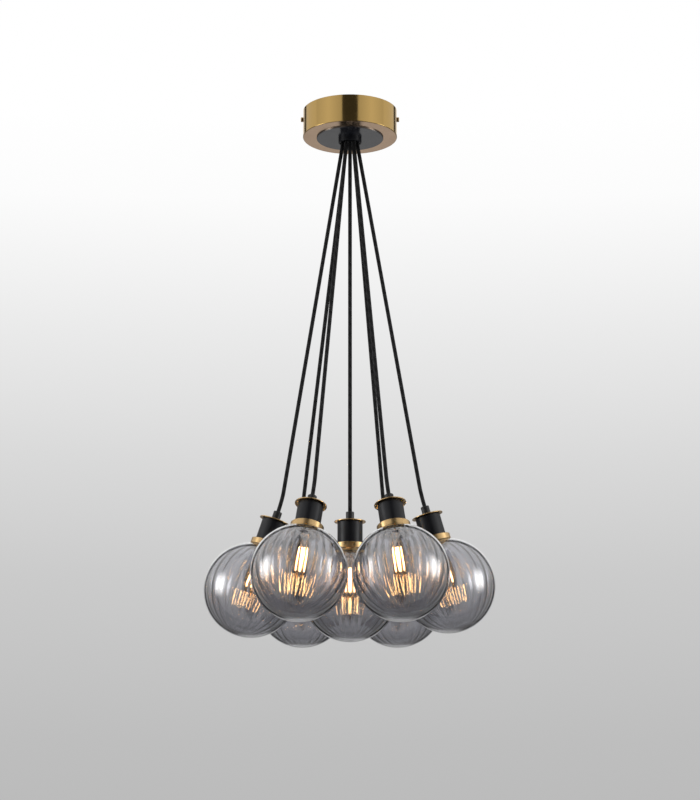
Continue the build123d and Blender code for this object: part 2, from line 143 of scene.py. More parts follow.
def math_in(tree):
    """The call that adds a math node to this tree, for sockets and plain numbers alike."""

    def calc(operation, *values):
        node = tree.nodes.new("ShaderNodeMath")
        node.operation = operation
        for socket, value in zip(node.inputs, values):
            if hasattr(value, "node"):
                tree.links.new(value, socket)
            else:
                socket.default_value = value
        return node.outputs[0]

    return calc


def blended(tree, factor, first, second):
    """A colour that goes from the first to the second, for sockets, greys and colours alike."""
    node = tree.nodes.new("ShaderNodeMix")
    node.data_type = "RGBA"
    tree.links.new(factor, node.inputs["Factor"])
    for key, value in (("A", first), ("B", second)):
        if hasattr(value, "node"):
            tree.links.new(value, node.inputs[key])
        else:
            node.inputs[key].default_value = (*np.broadcast_to(value, 3), 1)
    return node.outputs["Result"]


def bumped(tree, shader, height, strength, distance):
    """Give a material the relief of a height."""
    bump = tree.nodes.new("ShaderNodeBump")
    bump.inputs["Strength"].default_value = strength
    bump.inputs["Distance"].default_value = distance
    tree.links.new(height, bump.inputs["Height"])
    tree.links.new(bump.outputs["Normal"], shader.inputs["Normal"])


def braid_group():
    """Two sets of yarns that cross over and under each other, on a cord's own UV map: a height, and
    painted shade in the grooves between the yarns.
    """
    tree = bpy.data.node_groups.new("textile braid", "ShaderNodeTree")
    for name in ("Carriers", "Pitch", "Twist"):
        tree.interface.new_socket(name, in_out="INPUT", socket_type="NodeSocketFloat")
    for name in ("Height", "Painted Shade"):
        tree.interface.new_socket(name, in_out="OUTPUT", socket_type="NodeSocketFloat")
    given, result = tree.nodes.new("NodeGroupInput"), tree.nodes.new("NodeGroupOutput")
    uv = tree.nodes.new("ShaderNodeUVMap")
    uv.uv_map = "UVMap"
    split = tree.nodes.new("ShaderNodeSeparateXYZ")
    tree.links.new(uv.outputs["UV"], split.inputs[0])
    calc = math_in(tree)
    across = calc("MULTIPLY", split.outputs["X"], given.outputs["Carriers"])
    along = calc("DIVIDE", split.outputs["Y"], given.outputs["Pitch"])
    rising, falling = calc("ADD", along, across), calc("SUBTRACT", along, across)
    turn = calc("PINGPONG", calc("ADD", calc("FLOOR", rising), calc("FLOOR", falling)), 1.0)
    first_yarn = calc("ABSOLUTE", calc("SINE", calc("MULTIPLY", rising, pi)))
    second_yarn = calc("ABSOLUTE", calc("SINE", calc("MULTIPLY", falling, pi)))
    low = calc("MULTIPLY", second_yarn, calc("SUBTRACT", 1.0, turn))
    weave = calc("ADD", calc("MULTIPLY", first_yarn, turn), low)
    turns = calc("DIVIDE", split.outputs["Y"], given.outputs["Twist"])
    spiral = calc("MULTIPLY_ADD", split.outputs["X"], 2.0, turns)
    lay = calc("MULTIPLY_ADD", calc("SINE", calc("MULTIPLY", spiral, 2 * pi)), 0.5, 0.5)
    # Painted shade: darker between the yarns and in the low turns of the conductors' spiral.
    painted_shade = calc("MULTIPLY", calc("MULTIPLY_ADD", weave, painted_yarn_shade, 1 - painted_yarn_shade), lay)
    tree.links.new(calc("MULTIPLY_ADD", lay, conductor_relief, weave), result.inputs["Height"])
    tree.links.new(painted_shade, result.inputs["Painted Shade"])
    return tree


braid = braid_group()
cord_cover, tree, shader = new_material("black textile cord", (0.008, 0.008, 0.009), 0.6)
shader.inputs["Specular IOR Level"].default_value = 0.25
shader.inputs["Sheen Weight"].default_value = 0.08
shader.inputs["Sheen Roughness"].default_value = 0.4
shader.inputs["Sheen Tint"].default_value = (0.6, 0.6, 0.62, 1)
weave = tree.nodes.new("ShaderNodeGroup")
weave.node_tree = braid
weave.inputs["Carriers"].default_value = braid_carriers
weave.inputs["Pitch"].default_value = braid_pitch
weave.inputs["Twist"].default_value = conductor_twist
bumped(tree, shader, weave.outputs["Height"], strength=0.6, distance=0.0003)
# Painted shade: the braid goes near black between its yarns and along the conductors' spiral.
painted_shade_between_yarns, yarn = (0.001, 0.001, 0.0012), (0.02, 0.02, 0.021)
tint = blended(tree, weave.outputs["Painted Shade"], painted_shade_between_yarns, yarn)
tree.links.new(tint, shader.inputs["Base Color"])


def add_mesh(name, points, faces, material, smooth=True):
    """A new object whose place is in its mesh, with one material."""
    mesh = bpy.data.meshes.new(name)
    mesh.from_pydata([tuple(map(float, point)) for point in points], [], faces)
    mesh.materials.append(material)
    mesh.polygons.foreach_set("use_smooth", [smooth] * len(mesh.polygons))
    mesh.validate()
    piece = bpy.data.objects.new(name, mesh)
    bpy.context.scene.collection.objects.link(piece)
    return piece


def spline_path(name, points):
    """The points along a smooth spline that has the route's points as its control points."""
    curve = bpy.data.curves.new(name, "CURVE")
    curve.dimensions = "3D"
    curve.resolution_u = 24
    spline = curve.splines.new("NURBS")
    spline.points.add(len(points) - 1)
    for point, place in zip(spline.points, points):
        point.co = (*place, 1)
    spline.order_u = 3
    spline.use_endpoint_u = True
    guide = bpy.data.objects.new(name, curve)
    bpy.context.scene.collection.objects.link(guide)
    line = bpy.data.meshes.new_from_object(guide)
    path = [tuple(vertex.co) for vertex in line.vertices]
    bpy.data.objects.remove(guide)
    bpy.data.meshes.remove(line)
    return path


def tube(name, path, radius, sides, material):
    """A closed round tube along a path. Its UV map runs round the tube, and along it in metres."""
    line = np.array(path)
    steps = np.linalg.norm(np.diff(line, axis=0), axis=1)
    travelled = np.concatenate([[0], np.cumsum(steps)])
    ahead = np.gradient(line, axis=0)
    ahead /= np.linalg.norm(ahead, axis=1)[:, None]
    across_all = (0.3, 1.0, 0.1)  # no cord runs this way
    side = np.cross(ahead, across_all)
    side /= np.linalg.norm(side, axis=1)[:, None]
    other = np.cross(ahead, side)
    angles = np.arange(sides) * 2 * pi / sides
    cosines, sines = np.cos(angles)[None, :, None], np.sin(angles)[None, :, None]
    rings = line[:, None] + radius * (cosines * side[:, None] + sines * other[:, None])
    points = rings.reshape(-1, 3).tolist() + [path[0], path[-1]]
    faces, places = [], []
    for ring in range(len(path) - 1):
        for turn in range(sides):
            beside = (turn + 1) % sides
            low, high = ring * sides, (ring + 1) * sides
            faces.append((low + turn, low + beside, high + beside, high + turn))
            near, far = travelled[ring], travelled[ring + 1]
            left, right = turn / sides, (turn + 1) / sides
            places += [(left, near), (right, near), (right, far), (left, far)]
    first, last = len(points) - 2, len(points) - 1
    top = (len(path) - 1) * sides
    for turn in range(sides):
        beside = (turn + 1) % sides
        faces.append((first, beside, turn))
        faces.append((last, top + turn, top + beside))
        places += [(turn / sides, 0)] * 3 + [(turn / sides, travelled[-1])] * 3
    piece = add_mesh(name, points, faces, material)
    layer = piece.data.uv_layers.new(name="UVMap")
    layer.data.foreach_set("uv", np.array(places, np.float32).ravel())
    return piece


for name, (points, length) in cord_routes.items():
    path = spline_path("cord route", points)
    cord = tube(f"braided_cord_{name}", path, cord_radius, cord_sides, cord_cover)
    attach(cord, f"lamp_{name}")
    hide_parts(f"cord_{name}")
    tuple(points[0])


# ---------------------------------------------------------------- Brass drum at the ceiling
# A spun and lacquered brass drum, polished on its side and finely turned on its underside. It hides
# the wiring and is held to the strap above it by two small screws, one on each side.
def wear_group():
    """Faint smears and clouds of gloss, as on any lacquered or painted surface that is handled."""
    tree = bpy.data.node_groups.new("handling marks", "ShaderNodeTree")
    for name in ("Scale", "Low", "High"):
        tree.interface.new_socket(name, in_out="INPUT", socket_type="NodeSocketFloat")
    tree.interface.new_socket("Roughness", in_out="OUTPUT", socket_type="NodeSocketFloat")
    given, result = tree.nodes.new("NodeGroupInput"), tree.nodes.new("NodeGroupOutput")
    place = tree.nodes.new("ShaderNodeTexCoord")
    noise = tree.nodes.new("ShaderNodeTexNoise")
    noise.inputs["Detail"].default_value = 5
    noise.inputs["Roughness"].default_value = 0.6
    spread = tree.nodes.new("ShaderNodeMapRange")
    spread.inputs["From Min"].default_value = 0.3
    spread.inputs["From Max"].default_value = 0.7
    tree.links.new(place.outputs["Object"], noise.inputs["Vector"])
    tree.links.new(given.outputs["Scale"], noise.inputs["Scale"])
    tree.links.new(noise.outputs["Fac"], spread.inputs["Value"])
    tree.links.new(given.outputs["Low"], spread.inputs["To Min"])
    tree.links.new(given.outputs["High"], spread.inputs["To Max"])
    tree.links.new(spread.outputs["Result"], result.inputs["Roughness"])
    return tree


def worn(tree, shader, scale, low, high):
    """Give a material its roughness from the handling marks, between two values."""
    marks = tree.nodes.new("ShaderNodeGroup")
    marks.node_tree = handling_marks
    marks.inputs["Scale"].default_value = scale
    marks.inputs["Low"].default_value = low
    marks.inputs["High"].default_value = high
    tree.links.new(marks.outputs["Roughness"], shader.inputs["Roughness"])
    return marks.outputs["Roughness"]


def dress(node, material):
    """Give a solid that stays as it is its finish."""
    for place in nodes[node].material_slots:
        place.material = material
    if not nodes[node].material_slots:
        nodes[node].data.materials.append(material)


handling_marks = wear_group()
# The underside is the same brass as the side, painted paler and pinker to stand in for the light it
# reflects.
side_brass, underside_painted_reflection = (0.56, 0.37, 0.13), (0.86, 0.6, 0.4)
underside_level = -0.0458  # below this, the surface is the drum's turned underside
turned_line_pitch = 0.00045
underside_dulling = 0.1
drum_brass, tree, shader = new_material("drum brass", side_brass, 0.12, 1.0)
calc = math_in(tree)
place = tree.nodes.new("ShaderNodeTexCoord")
split = tree.nodes.new("ShaderNodeSeparateXYZ")
tree.links.new(place.outputs["Object"], split.inputs[0])
under = calc("LESS_THAN", split.outputs["Z"], underside_level)
flat = tree.nodes.new("ShaderNodeCombineXYZ")
tree.links.new(split.outputs["X"], flat.inputs["X"])
tree.links.new(split.outputs["Y"], flat.inputs["Y"])
from_middle = tree.nodes.new("ShaderNodeVectorMath")
from_middle.operation = "LENGTH"
tree.links.new(flat.outputs[0], from_middle.inputs[0])
lines = tree.nodes.new("ShaderNodeTexNoise")
lines.noise_dimensions = "1D"
lines.inputs["Scale"].default_value = 1 / turned_line_pitch
lines.inputs["Detail"].default_value = 3
tree.links.new(from_middle.outputs["Value"], lines.inputs["W"])
grooves = calc("MULTIPLY", lines.outputs["Fac"], under)
bumped(tree, shader, grooves, strength=0.25, distance=0.00015)
marks = worn(tree, shader, scale=26, low=0.10, high=0.17)
tree.links.new(calc("MULTIPLY_ADD", under, underside_dulling, marks), shader.inputs["Roughness"])
# Painted reflection: below the underside level the drum takes the paler, pinker colour.
tree.links.new(blended(tree, under, side_brass, underside_painted_reflection), shader.inputs["Base Color"])
dress("canopy_shell", drum_brass)


# ---------------------------------------------------------------- Brass fittings
# Side screws of the drum, the disc on top of each cup and the collar under it, all of them turned
# brass with a satin lacquer.
satin_brass, tree, shader = new_material("satin brass", (0.62, 0.42, 0.2), 0.3, 1.0)
worn(tree, shader, scale=90, low=0.22, high=0.34)
for side in ("left", "right"):
    dress(f"side_screw_{side}", satin_brass)
for name in cord_routes:
    dress(f"top_disc_{name}", satin_brass)
    dress(f"shade_collar_{name}", satin_brass)


# ---------------------------------------------------------------- Black disc, boss and cups
# Spun and turned steel in black: a glossier lacquer on the disc under the drum, and a matt powder
# coat on the boss with the seven cord holes and on the cup over each lampholder.
powder_black, tree, shader = new_material("black powder coat", (0.0035, 0.0038, 0.0065), 0.4)
shader.inputs["Specular IOR Level"].default_value = 0.35
worn(tree, shader, scale=60, low=0.34, high=0.44)
grain = tree.nodes.new("ShaderNodeTexNoise")
grain.inputs["Scale"].default_value = 2600
grain.inputs["Detail"].default_value = 2
place = tree.nodes.new("ShaderNodeTexCoord")
tree.links.new(place.outputs["Object"], grain.inputs["Vector"])
bumped(tree, shader, grain.outputs["Fac"], strength=0.12, distance=0.0001)
satin_black, tree, shader = new_material("satin black disc", (0.014, 0.015, 0.02), 0.22)
shader.inputs["IOR"].default_value = 2.1
worn(tree, shader, scale=50, low=0.17, high=0.24)
dress("canopy_disc", satin_black)
dress("cable_boss", powder_black)
for name in cord_routes:
    dress(f"holder_cup_{name}", powder_black)


# ---------------------------------------------------------------- Lampholders
# A moulded cord grip above each cup and the small screw socket that it carries inside the cup.
moulded_black, tree, shader = new_material("moulded black plastic", (0.006, 0.006, 0.007), 0.4)
worn(tree, shader, scale=140, low=0.32, high=0.46)
for name in cord_routes:
    dress(f"lampholder_{name}", moulded_black)


# ---------------------------------------------------------------- Inside the drum
# Zinc-plated strap, nut and screws, a white terminal block, clamp collars and the cords' ends.
zinc, tree, shader = new_material("zinc plate", (0.56, 0.57, 0.6), 0.35, 1.0)
worn(tree, shader, scale=70, low=0.28, high=0.45)
white_plastic, tree, shader = new_material("terminal plastic", (0.72, 0.72, 0.68), 0.45)
worn(tree, shader, scale=120, low=0.38, high=0.52)
wire_black, tree, shader = new_material("wire sheath", (0.02, 0.02, 0.021), 0.5)
worn(tree, shader, scale=150, low=0.42, high=0.55)
for node in ("ceiling_strap", "strap_screws", "boss_nut"):
    dress(node, zinc)
dress("terminal_block", white_plastic)
dress("cord_retainers", moulded_black)
dress("wiring_tails", wire_black)


# ---------------------------------------------------------------- Globes
# Mouth-blown smoked glass with a half-mirror tint, 150 mm across. The outside is smooth, and 26
# flutes run down the inside from the neck to the bottom. The threaded neck screws into the collar.
globe_radius = 75.0
inner_radius = 68.0
flute_count = 26
flute_depth = 0.8
flute_width = 16.0
flute_end = radians(70)
flute_columns = 14
neck_radius, bore_radius, neck_top = 21.3, 18.5, 78.51
neck_fillet, neck_fillet_angle = 0.8, 0.02  # up the neck, and down the outside of the globe
bore_fillet, bore_fillet_angle = 3, 0.03  # up the bore, and down the inside of the globe
lip_round = 0.8
thread_round = 0.7  # how far the neck's two rings stand out
thread_drops = (4.2, 1.6)  # how far below the lip they are
column_crowding = 0.07  # how far the mesh's columns crowd together

flute_curve = flute_width**2 / (8 * flute_depth)
flute_tube = 1 / (1 / flute_curve + 1 / inner_radius)
flute_shift = flute_depth / (1 - cos(flute_end))
flute_path = inner_radius + flute_depth - flute_shift - flute_tube


def fluted_radius(latitude, longitude):
    """Distance from the globe's centre to its inside wall, where bent tubes cut the flutes."""
    pitch = 2 * pi / flute_count
    beside = (longitude + pitch / 2) % pitch - pitch / 2
    low = np.full(latitude.shape, inner_radius)
    high = low + flute_depth + 0.5  # beyond the deepest place of a flute

    def in_tube(reach):
        x = reach * np.cos(latitude) * np.cos(beside) - flute_shift
        y = reach * np.cos(latitude) * np.sin(beside)
        around = np.hypot(x, reach * np.sin(latitude)) - flute_path
        return around**2 + y**2 < flute_tube**2

    cut = in_tube(low - 1e-6)
    for _ in range(26):
        middle = (low + high) / 2
        inside = in_tube(middle)
        low, high = np.where(inside, middle, low), np.where(inside, high, middle)
    return np.where(cut, low, inner_radius)


def soft_corner(start, corner, end, count):
    """Points on a quadratic curve that rounds a corner, without its two ends."""
    share = np.linspace(0, 1, count + 2)[1:-1, None]
    start, corner, end = map(np.array, (start, corner, end))
    return ((1 - share) ** 2 * start + 2 * share * (1 - share) * corner + share**2 * end).tolist()


def grid_faces(rows, columns):
    """Quads between rows of points round an axis. The first and the last row are single points."""
    faces = []
    first, last = 0, 1 + (rows - 2) * columns
    for turn in range(columns):
        beside = (turn + 1) % columns
        faces.append((first, 1 + beside, 1 + turn))
        top = 1 + (rows - 3) * columns
        faces.append((last, top + turn, top + beside))
        for row in range(rows - 3):
            low, high = 1 + row * columns, 1 + (row + 1) * columns
            faces.append((low + turn, low + beside, high + beside, high + turn))
    return faces


def glass_globe():
    """Points and faces of one globe, upright, round its own centre, in metres."""
    columns = flute_count * flute_columns
    turns = np.arange(columns) / flute_columns
    longitude = (turns - column_crowding * np.sin(2 * pi * turns)) * 2 * pi / flute_count
    foot = sqrt(globe_radius**2 - neck_radius**2)
    latitudes = np.linspace(-pi / 2, atan2(foot, neck_radius) - neck_fillet_angle, 60)
    outline = [(globe_radius * cos(a), globe_radius * sin(a)) for a in latitudes]
    above_fillet = (neck_radius, foot + neck_fillet)
    outline += soft_corner(outline[-1], (neck_radius, foot), above_fillet, 3)
    outline += [above_fillet, (neck_radius, neck_top - thread_drops[0] - 0.9)]
    for crest in (neck_top - drop for drop in thread_drops):
        for a in np.linspace(0.3, pi - 0.3, 5):
            outline.append((neck_radius + thread_round * sin(a), crest - thread_round * cos(a)))
        outline.append((neck_radius, crest + thread_round + 0.05))
    side, rim = (neck_radius, neck_top - lip_round), (neck_radius - lip_round, neck_top)
    outline += [*soft_corner(side, (neck_radius, neck_top), rim, 3), rim]
    side, rim = (bore_radius, neck_top - lip_round), (bore_radius + lip_round, neck_top)
    outline += [rim, *soft_corner(rim, (bore_radius, neck_top), side, 3), side]
    bore_foot = sqrt(inner_radius**2 - bore_radius**2)
    start = atan2(bore_foot, bore_radius) - bore_fillet_angle
    shoulder = (inner_radius * cos(start), inner_radius * sin(start))
    above_fillet = (bore_radius, bore_foot + bore_fillet)
    outline += [above_fillet, *soft_corner(above_fillet, (bore_radius, bore_foot), shoulder, 4)]
    radius = [np.full(columns, r) for r, _ in outline[1:]]
    height = [np.full(columns, z) for _, z in outline[1:]]
    inside = 1 + len(radius) * columns
    for latitude in np.linspace(start, -pi / 2, 121)[:-1]:
        reach = fluted_radius(np.full(columns, latitude), longitude)
        radius.append(reach * cos(latitude))
        height.append(reach * sin(latitude))
    radius, height = np.array(radius), np.array(height)
    ring = np.stack([radius * np.cos(longitude), radius * np.sin(longitude), height], -1)
    outer_end, inner_end = (0, 0, -globe_radius), (0, 0, -inner_radius)
    points = np.vstack([outer_end, ring.reshape(-1, 3), inner_end]) / 1000
    return points, grid_faces(len(radius) + 2, columns), inside, columns


def finish_globe(mesh, inside, columns, inner_material):
    """Crisp ridges between the flutes, and the mirror finish on the inside wall."""
    pairs = np.empty(2 * len(mesh.edges), np.int32)
    mesh.edges.foreach_get("vertices", pairs)
    pairs = pairs.reshape(-1, 2)
    turn = (pairs - 1) % columns
    ridge = (turn[:, 0] == turn[:, 1]) & (turn[:, 0] % flute_columns == flute_columns // 2)
    sharp = ridge & (pairs.min(axis=1) >= inside)
    mesh.attributes.new("sharp_edge", "BOOLEAN", "EDGE").data.foreach_set("value", sharp)
    mesh.materials.append(inner_material)
    lowest = [min(face.vertices) for face in mesh.polygons]
    mesh.polygons.foreach_set("material_index", [int(first >= inside) for first in lowest])


def upright_lamps():
    """Where each lamp's own upright axes lie, from the joint that its globe turns on."""
    places = {}
    for joint in frame["joints"]:
        kind, _, name = joint["child"].partition("_")
        if kind == "globe":
            axis = Vector(joint["axis"]).normalized()
            lean = sqrt(axis.x**2 + axis.y**2)
            turned = atan2(-axis.y, -axis.x) if lean > 0.01 else 0.0
            across = Vector((cos(turned) * axis.z, sin(turned) * axis.z, lean))
            spun = Matrix((across, axis.cross(across), axis)).transposed()
            places[name] = (np.array(spun), np.array(joint["pos_m"]), turned)
    return places


def smoke_tinted(name, mirror_index):
    """Smoked glass under a clear half-mirror coat."""
    material, _, shader = new_material(name, smoke, 0.0)
    shader.inputs["Transmission Weight"].default_value = 1.0
    shader.inputs["IOR"].default_value = 1.5
    shader.inputs["Coat Weight"].default_value = 1.0
    shader.inputs["Coat IOR"].default_value = mirror_index
    shader.inputs["Coat Roughness"].default_value = 0.0
    return material


smoke = (0.63, 0.63, 0.665)
smoked_glass = smoke_tinted("smoked glass", mirror_index=2.0)
mirror_glass = smoke_tinted("mirrored inside of the glass", mirror_index=2.6)
lamps = upright_lamps()
globe_points, globe_faces, inside, columns = glass_globe()
for name, (spun, centre, _) in lamps.items():
    points = globe_points @ spun.T + centre
    globe = add_mesh(f"glass_globe_{name}", points, globe_faces, smoked_glass)
    finish_globe(globe.data, inside, columns, mirror_glass)
    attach(globe, f"globe_{name}")
    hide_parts(f"globe_{name}")


# ---------------------------------------------------------------- Bulbs
# Candle bulbs with a small screw cap: a thin clear envelope round a stem, and four long filaments
# that lead wires hold at both ends. Geometry nodes make the stem, the wires and the filaments.
cap_radius, thread_pitch, thread_depth = 6.6, 2.8, 0.45
cap_foot, cap_top = 64.9, 86.1
# The cap's outline below and above its thread: radius, and height over its foot or its top.
cap_skirt = [(0.1, 0), (8.2, 0), (8.4, 0.3), (8.4, 1.0), (8.1, 1.2), (cap_radius + 0.3, 1.5)]
cap_contact = [(cap_radius - 0.4, -0.9), (4.6, 0), (2.6, 0.1), (2.4, 0.8), (2.1, 2.0), (1.2, 2.4)]
envelope_wall, envelope_neck, envelope_belly = 0.8, 8.2, 17.5
envelope_top, belly_level, envelope_tip = 64.85, 22.1, -10.1
filament_radius, filament_circle = 1.6, 6.8
filament_low, filament_high = 4.1, 42.1
foot_spread, head_spread = 1.08, 0.82  # the filaments draw together upwards
stem_foot, stem_radius, wire_radius = 45.0, 2.4, 0.4
turned_columns = 48


def cubic(points, count):
    """Points on a cubic curve through its four control points, without the first."""
    share = np.linspace(0, 1, count + 1)[1:, None]
    a, b, c, d = map(np.array, points)
    rest = 1 - share
    return (rest**3 * a + 3 * rest**2 * share * b + 3 * rest * share**2 * c + share**3 * d).tolist()


def candle_outline(shrink):
    """Outline of the envelope from its neck to its tip, drawn in by shrink."""
    neck, widest = envelope_neck - shrink, envelope_belly - shrink
    tip, nose = envelope_tip + shrink, 1.8 - shrink / 2
    shoulder = [(neck, envelope_top), (neck, envelope_top - 13), (widest, belly_level + 22)]
    flame = [(widest, belly_level - 15), (nose + 5, tip + 10), (nose, tip + 1)]
    line = [[neck, envelope_top]]
    line += cubic([*shoulder, (widest, belly_level)], 22)
    line += cubic([(widest, belly_level), *flame], 22)
    line += soft_corner((nose, tip + 1), (nose * 0.6, tip), (0, tip), 3)
    return line


def lathe(radii, heights, first, last):
    """Points and faces of a turned solid, in metres, closed by a point at each end of its axis."""
    angles = np.arange(turned_columns) * 2 * pi / turned_columns
    radii = np.stack([np.broadcast_to(radius, turned_columns) for radius in radii])
    heights = np.broadcast_to(np.array(heights, float)[:, None], radii.shape)
    ring = np.stack([radii * np.cos(angles), radii * np.sin(angles), heights], -1)
    points = np.vstack([[(0, 0, first)], ring.reshape(-1, 3), [(0, 0, last)]]) / 1000
    return points, grid_faces(len(radii) + 2, turned_columns)


def screw_cap():
    """The cap, with the rounded screw thread running up it."""
    angles = np.arange(turned_columns) * 2 * pi / turned_columns
    run_out = 1.5  # over which the thread fades at its ends
    heights = np.linspace(cap_foot + 2.2, cap_top - 2.0, 60)
    turns = (heights[:, None] - cap_foot) / thread_pitch - angles[None, :] / (2 * pi)
    from_end = np.minimum(heights - heights[0], heights[-1] - heights)
    fade = np.minimum(1, from_end / run_out)[:, None]
    thread = cap_radius + thread_depth * np.sin(2 * pi * turns) * fade
    radii = [r for r, _ in cap_skirt] + list(thread) + [r for r, _ in cap_contact]
    levels = [cap_foot + z for _, z in cap_skirt] + list(heights)
    levels += [cap_top + z for _, z in cap_contact]
    return lathe(radii, levels, cap_foot, levels[-1])


def envelope_shell():
    """The envelope's outside from its tip to its neck, then its inside back to the tip."""
    radii, levels = zip(*candle_outline(0)[::-1], *candle_outline(envelope_wall))
    return lathe(radii, levels, envelope_tip, envelope_tip + envelope_wall)


cap_metal, tree, shader = new_material("plated cap", (0.7, 0.62, 0.46), 0.25, 1.0)
worn(tree, shader, scale=150, low=0.2, high=0.36)
clear_glass, tree, shader = new_material("bulb glass", (1.0, 0.88, 0.7), 0.0)
shader.inputs["Transmission Weight"].default_value = 1.0
shader.inputs["IOR"].default_value = 1.2
glowing, tree, shader = new_material("glowing filament", (1.0, 0.72, 0.4), 0.5)
shader.inputs["Emission Color"].default_value = (1.0, 0.69, 0.37, 1)
shader.inputs["Emission Strength"].default_value = 270
wire_metal, tree, shader = new_material("lead wire", (0.6, 0.5, 0.42), 0.35, 1.0)
worn(tree, shader, scale=200, low=0.3, high=0.4)


def geometry_tree(name, inputs):
    """A geometry tree with named inputs and one output, and the call that adds a node to it."""
    tree = bpy.data.node_groups.new(name, "GeometryNodeTree")
    for label, kind in inputs.items():
        tree.interface.new_socket(label, in_out="INPUT", socket_type=f"NodeSocket{kind}")
    tree.interface.new_socket("Geometry", in_out="OUTPUT", socket_type="NodeSocketGeometry")

    def add(kind, sockets=None, **settings):
        node = tree.nodes.new(kind)
        for key, value in settings.items():
            setattr(node, key, value)
        for key, value in (sockets or {}).items():
            if hasattr(value, "node"):
                tree.links.new(value, node.inputs[key])
            else:
                node.inputs[key].default_value = value
        return node

    return tree, add


def rod_tree():
    """Round rods with softened ends, set evenly round the bulb's axis."""
    inputs = {"Count": "Int", "Turn": "Float", "Start": "Vector", "End": "Vector"}
    inputs.update({"Radius": "Float", "Sides": "Int", "Material": "Material"})
    tree, add = geometry_tree("rods round the axis", inputs)
    given, calc = add("NodeGroupInput").outputs, math_in(tree)
    line = add("GeometryNodeCurvePrimitiveLine", {"Start": given["Start"], "End": given["End"]})
    stations = add("GeometryNodeResampleCurve", {"Curve": line.outputs[0], "Count": 24})
    share = add("GeometryNodeSplineParameter").outputs["Factor"]
    from_middle = calc("ABSOLUTE", calc("MULTIPLY_ADD", share, 2.0, -1.0))
    rounding = calc("SQRT", calc("SUBTRACT", 1.0, calc("POWER", from_middle, 16.0)))
    radius = calc("MULTIPLY", calc("MAXIMUM", rounding, 0.2), given["Radius"])
    section = add("GeometryNodeCurvePrimitiveCircle", {"Resolution": given["Sides"], "Radius": 1.0})
    swept = {"Curve": stations.outputs[0], "Profile Curve": section.outputs[0], "Scale": radius}
    rod = add("GeometryNodeCurveToMesh", {**swept, "Fill Caps": True})
    spots = add("GeometryNodePoints", {"Count": given["Count"]})
    step = calc("DIVIDE", 2 * pi, given["Count"])
    angle = calc("MULTIPLY_ADD", add("GeometryNodeInputIndex").outputs[0], step, given["Turn"])
    about_axis = add("ShaderNodeCombineXYZ", {"Z": angle}).outputs[0]
    facing = add("FunctionNodeEulerToRotation", {0: about_axis})
    ring = {"Points": spots.outputs[0], "Instance": rod.outputs[0], "Rotation": facing.outputs[0]}
    copies = add("GeometryNodeInstanceOnPoints", ring)
    solid = add("GeometryNodeRealizeInstances", {0: copies.outputs[0]})
    coated = {"Geometry": solid.outputs[0], "Material": given["Material"]}
    finished = add("GeometryNodeSetMaterial", coated)
    add("NodeGroupOutput", {0: finished.outputs[0]})
    return tree


def cage_tree():
    """The four filaments, and the stem and the lead wires that carry them at both ends."""
    tree, add = geometry_tree("filament cage", {"Turn": "Float"})
    turn, whole = add("NodeGroupInput").outputs["Turn"], add("GeometryNodeJoinGeometry")
    rods = rod_tree()
    foot, head = filament_circle * foot_spread, filament_circle * head_spread
    for count, start, end, radius, sides, material in (
        # the filaments, the wires to their upper and their lower ends, the stem and its wire
        (4, (foot, 0, filament_low), (head, 0, filament_high), filament_radius, 12, glowing),
        (4, (0, 0, stem_foot + 0.6), (head, 0, filament_high - 0.6), wire_radius, 8, wire_metal),
        (4, (0, 0, filament_low - 0.7), (foot, 0, filament_low + 0.4), wire_radius, 8, wire_metal),
        (1, (0, 0, stem_foot), (0, 0, cap_foot - 0.1), stem_radius, 16, wire_metal),
        (1, (0, 0, filament_low - 0.9), (0, 0, stem_foot + 2), wire_radius, 8, wire_metal),
    ):
        sizes = {"Count": count, "Turn": turn, "Start": start, "End": end}
        finish = {"Radius": radius, "Sides": sides, "Material": material}
        few = add("GeometryNodeGroup", {**sizes, **finish}, node_tree=rods)
        tree.links.new(few.outputs[0], whole.inputs[0])
    finished = add("GeometryNodeRealizeInstances", {0: whole.outputs[0]})
    add("NodeGroupOutput", {0: finished.outputs[0]})
    return tree


def filament_cage(turn):
    """One bulb's cage as a plain mesh, upright, in millimetres."""
    holder = bpy.data.objects.new("filament cage", bpy.data.meshes.new("filament cage"))
    bpy.context.scene.collection.objects.link(holder)
    modifier = holder.modifiers.new("filament cage", "NODES")
    modifier.node_group = cage
    modifier[cage.interface.items_tree["Turn"].identifier] = turn
    seen = holder.evaluated_get(bpy.context.evaluated_depsgraph_get())
    mesh = bpy.data.meshes.new_from_object(seen)
    mesh.materials.pop(index=list(mesh.materials).index(None))  # the empty slot of the holder
    bpy.data.objects.remove(holder)
    return mesh


cage = cage_tree()
toward_camera = -pi / 2
for name, (spun, centre, turned) in lamps.items():
    mesh = filament_cage(toward_camera - turned + pi / 4)  # two filaments side by side in front
    to_metres = Matrix.Scale(0.001, 4)
    mesh.transform(Matrix.Translation(centre) @ Matrix(spun.tolist()).to_4x4() @ to_metres)
    filaments = bpy.data.objects.new(f"bulb_filaments_{name}", mesh)
    bpy.context.scene.collection.objects.link(filaments)
    pieces = [filaments]
    for part, (points, faces), material in (
        ("bulb_cap", screw_cap(), cap_metal),
        ("bulb_envelope", envelope_shell(), clear_glass),
    ):
        pieces.append(add_mesh(f"{part}_{name}", points @ spun.T + centre, faces, material))
    for piece in pieces:
        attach(piece, f"bulb_{name}")
        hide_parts(f"bulb_{name}")


